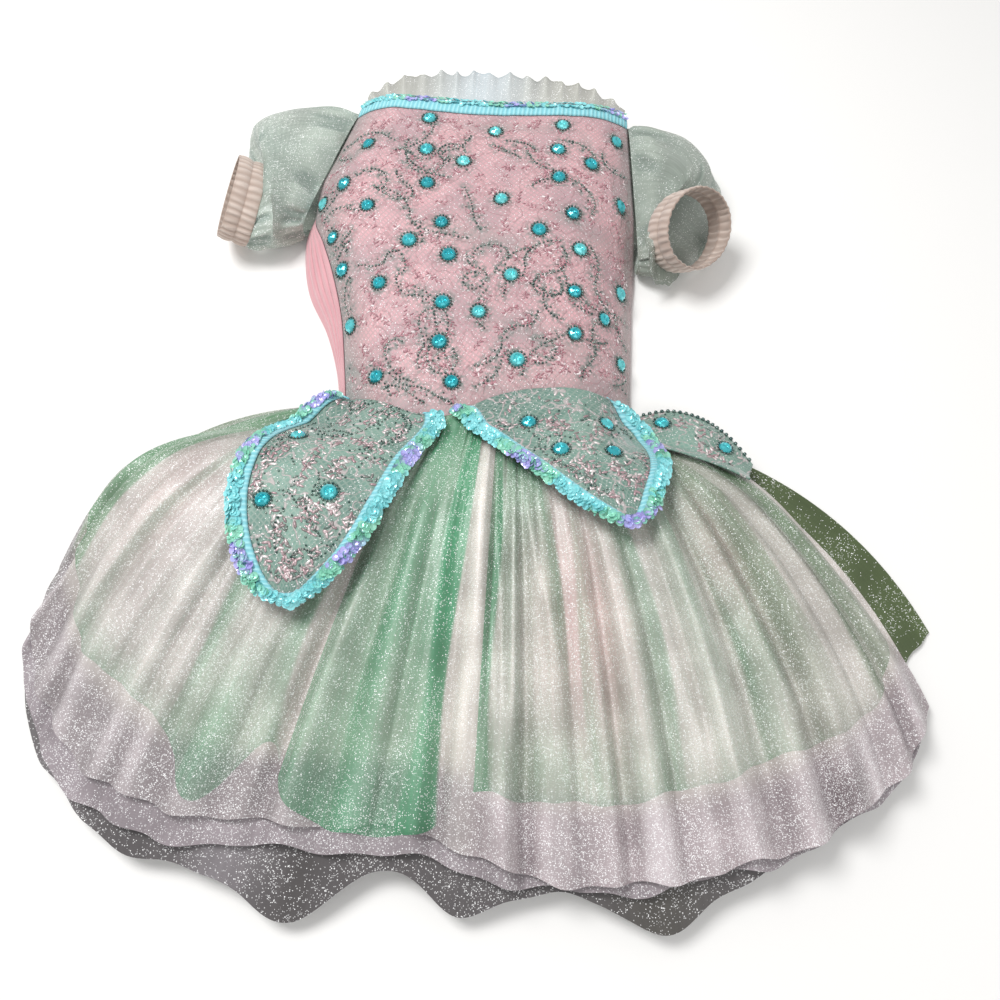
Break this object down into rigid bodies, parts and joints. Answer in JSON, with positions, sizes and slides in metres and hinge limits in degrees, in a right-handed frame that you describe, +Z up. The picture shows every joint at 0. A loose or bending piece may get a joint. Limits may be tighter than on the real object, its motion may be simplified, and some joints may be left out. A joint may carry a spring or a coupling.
{
  "type": "fairy tutu costume",
  "caption": "Child's fairy costume laid flat: gem-studded lace bodice, puff sleeves with smocked cuffs, leaf petals, and a layered organza and net skirt under mint drapes.",
  "frame": {"origin": "on the underside, at the middle of the waist", "axes": "+X to the side seen at the right, +Y from the waist to the neck, +Z up from the surface the costume lies on"},
  "size_m": [0.534, 0.5751, 0.0733],
  "materials": {
    "pink_stretch": "matt stretch cloth",
    "beaded_lace": "net lace with beads and sequin cups over stretch cloth",
    "sequin_ribbon": "iridescent sequins on ribbed elastic",
    "ivory_organza": "sheer glitter organza",
    "mint_organza": "sheer glitter organza",
    "sage_organza": "sheer satin organza",
    "peach_elastic": "smocked matt cloth",
    "sage_lace": "embroidered lace with beads",
    "pink_net": "fine soft net",
    "smoke_net": "fine soft net"
  },
  "bodies": {
    "root": {"bodice_front": "beaded_lace", "bodice_back": "pink_stretch", "neck_trim": "sequin_ribbon", "neck_ruffle_front": "ivory_organza", "neck_ruffle_back": "ivory_organza", "sleeve_left": "sage_organza", "cuff_left": "peach_elastic", "sleeve_right": "sage_organza", "cuff_right": "peach_elastic", "skirt_organza_front": "ivory_organza", "skirt_net_front": "pink_net", "skirt_smoke_front": "smoke_net", "skirt_organza_back": "ivory_organza", "skirt_net_back": "pink_net", "skirt_smoke_back": "smoke_net", "overskirt_back": "mint_organza", "drape_far_left": "mint_organza", "drape_left": "mint_organza", "drape_centre": "mint_organza", "drape_middle_right": "mint_organza", "drape_right": "mint_organza", "drape_far_right": "mint_organza", "petal_front_left": "sage_lace", "petal_trim_front_left": "sequin_ribbon", "petal_front_right": "sage_lace", "petal_trim_front_right": "sequin_ribbon", "petal_side_right": "sage_lace"}
  },
  "joints": []
}
